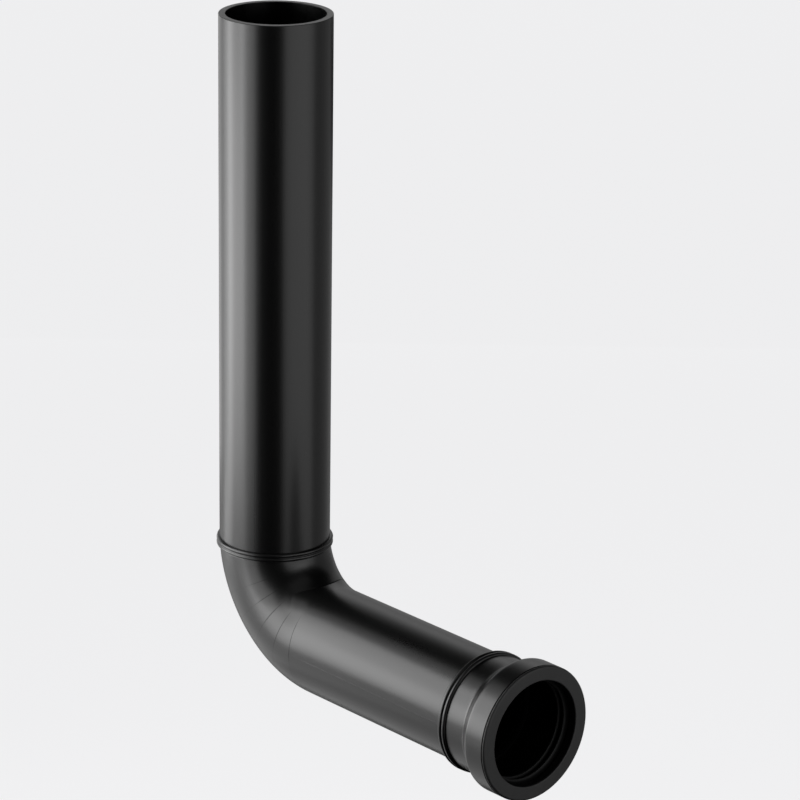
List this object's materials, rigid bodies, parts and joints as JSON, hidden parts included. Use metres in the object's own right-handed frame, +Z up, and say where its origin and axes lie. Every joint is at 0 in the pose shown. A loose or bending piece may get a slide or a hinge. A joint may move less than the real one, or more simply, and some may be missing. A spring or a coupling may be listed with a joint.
{
  "type": "pipe connection bend",
  "caption": "Right-angle drainage connection bend: a long plain upright pipe end welded to a moulded bend, whose leg ends in a ring-seal socket.",
  "frame": {"origin": "the point where the axis of the upright pipe crosses the axis of the long leg, the setting-out point of a bend", "axes": "+Z up the upright pipe towards its open end, +X along the leg and out of the socket's mouth, +Y across; the bend lies in the XZ plane"},
  "size_m": [0.1989, 0.0602, 0.3107],
  "materials": {
    "extruded_polyethylene": "satin black, with fine lines along the pipe from extrusion",
    "moulded_polyethylene": "satin black, as moulded",
    "weld_polyethylene": "satin black, re-solidified melt",
    "seal_rubber": "matt black",
    "retaining_ring_plastic": "matt black, as moulded"
  },
  "bodies": {
    "root": {"upright_pipe": "extruded_polyethylene", "upper_weld_bead": "weld_polyethylene", "moulded_elbow": "moulded_polyethylene", "lower_weld_bead": "weld_polyethylene", "seal_socket": "moulded_polyethylene", "lip_seal": "seal_rubber", "retaining_ring": "retaining_ring_plastic"}
  },
  "joints": []
}
